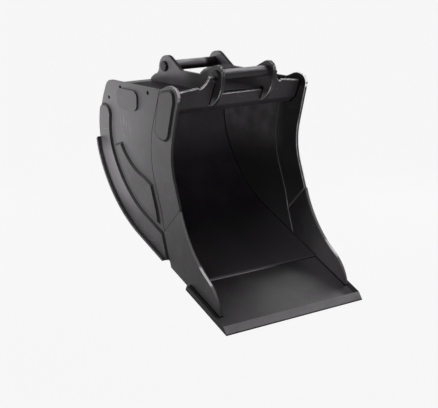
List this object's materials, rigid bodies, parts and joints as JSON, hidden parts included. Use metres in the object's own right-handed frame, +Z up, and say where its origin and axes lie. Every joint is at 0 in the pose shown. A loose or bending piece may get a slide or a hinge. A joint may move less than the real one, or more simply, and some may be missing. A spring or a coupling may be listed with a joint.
{
  "type": "excavator digging bucket",
  "caption": "Welded excavator digging bucket with a smooth bevelled cutting edge, rolled back, side wear plates, hanger ears and two fixed coupler pins.",
  "frame": {"origin": "the middle of the front coupler pin", "axes": "+X to the bucket's right along both pins, +Y from the mouth to the back, +Z up with the side walls' top edges level"},
  "size_m": [0.99, 1.2648, 1.3705],
  "materials": {
    "painted_plate": "satin dark grey",
    "hard_plate": "satin dark grey",
    "bright_pin": "turned steel"
  },
  "bodies": {
    "root": {"side_plate_left": "painted_plate", "side_plate_right": "painted_plate", "front_strip_left": "painted_plate", "front_strip_right": "painted_plate", "side_cutter_left": "hard_plate", "side_cutter_right": "hard_plate", "shell": "painted_plate", "deck": "painted_plate", "cutting_edge": "hard_plate", "heel_plate_left": "painted_plate", "heel_plate_right": "painted_plate", "corner_strip_left": "painted_plate", "corner_strip_right": "painted_plate", "crescent_plate_left": "painted_plate", "crescent_plate_right": "painted_plate", "nose_pad_left": "painted_plate", "nose_pad_right": "painted_plate", "badge_plate_left": "painted_plate", "hanger_left": "painted_plate", "hanger_right": "painted_plate", "front_pin": "bright_pin", "rear_pin": "bright_pin", "cross_plate": "painted_plate", "tube_floor": "painted_plate"}
  },
  "joints": []
}
